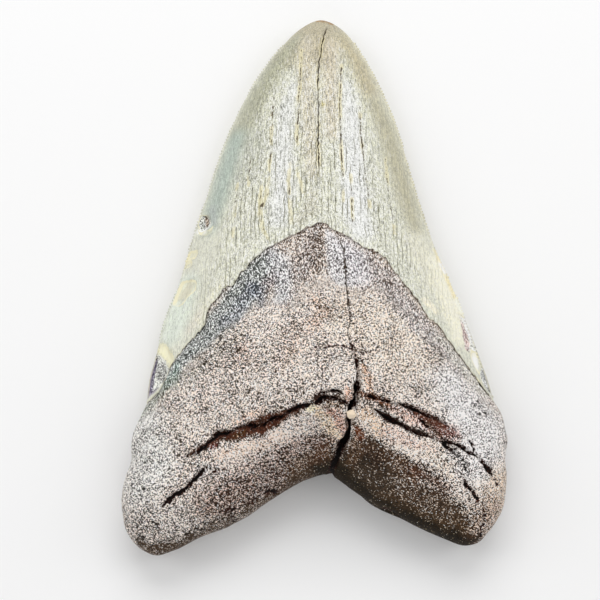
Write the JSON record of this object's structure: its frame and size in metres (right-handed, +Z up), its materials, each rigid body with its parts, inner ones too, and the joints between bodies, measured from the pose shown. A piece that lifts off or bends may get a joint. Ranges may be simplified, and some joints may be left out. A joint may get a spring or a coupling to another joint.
{
  "type": "megalodon tooth",
  "caption": "Fossil shark tooth with a worn enamel crown, a dark band below it and a thick two-lobed root, split by a crack at the nutrient hole. It lies on its flat labial face.",
  "frame": {"origin": "under the middle of the tooth's bounding box, on the surface that it lies on", "axes": "+Y towards the tip of the crown, -Y towards the root's two lobes, +Z up out of the rounded lingual face"},
  "size_m": [0.0874, 0.1307, 0.027],
  "materials": {
    "tooth": "satin enamel over a matt, grainy root",
    "gravel": "matt"
  },
  "bodies": {
    "root": {"tooth": "tooth", "gravel_grain": "gravel"}
  },
  "joints": []
}
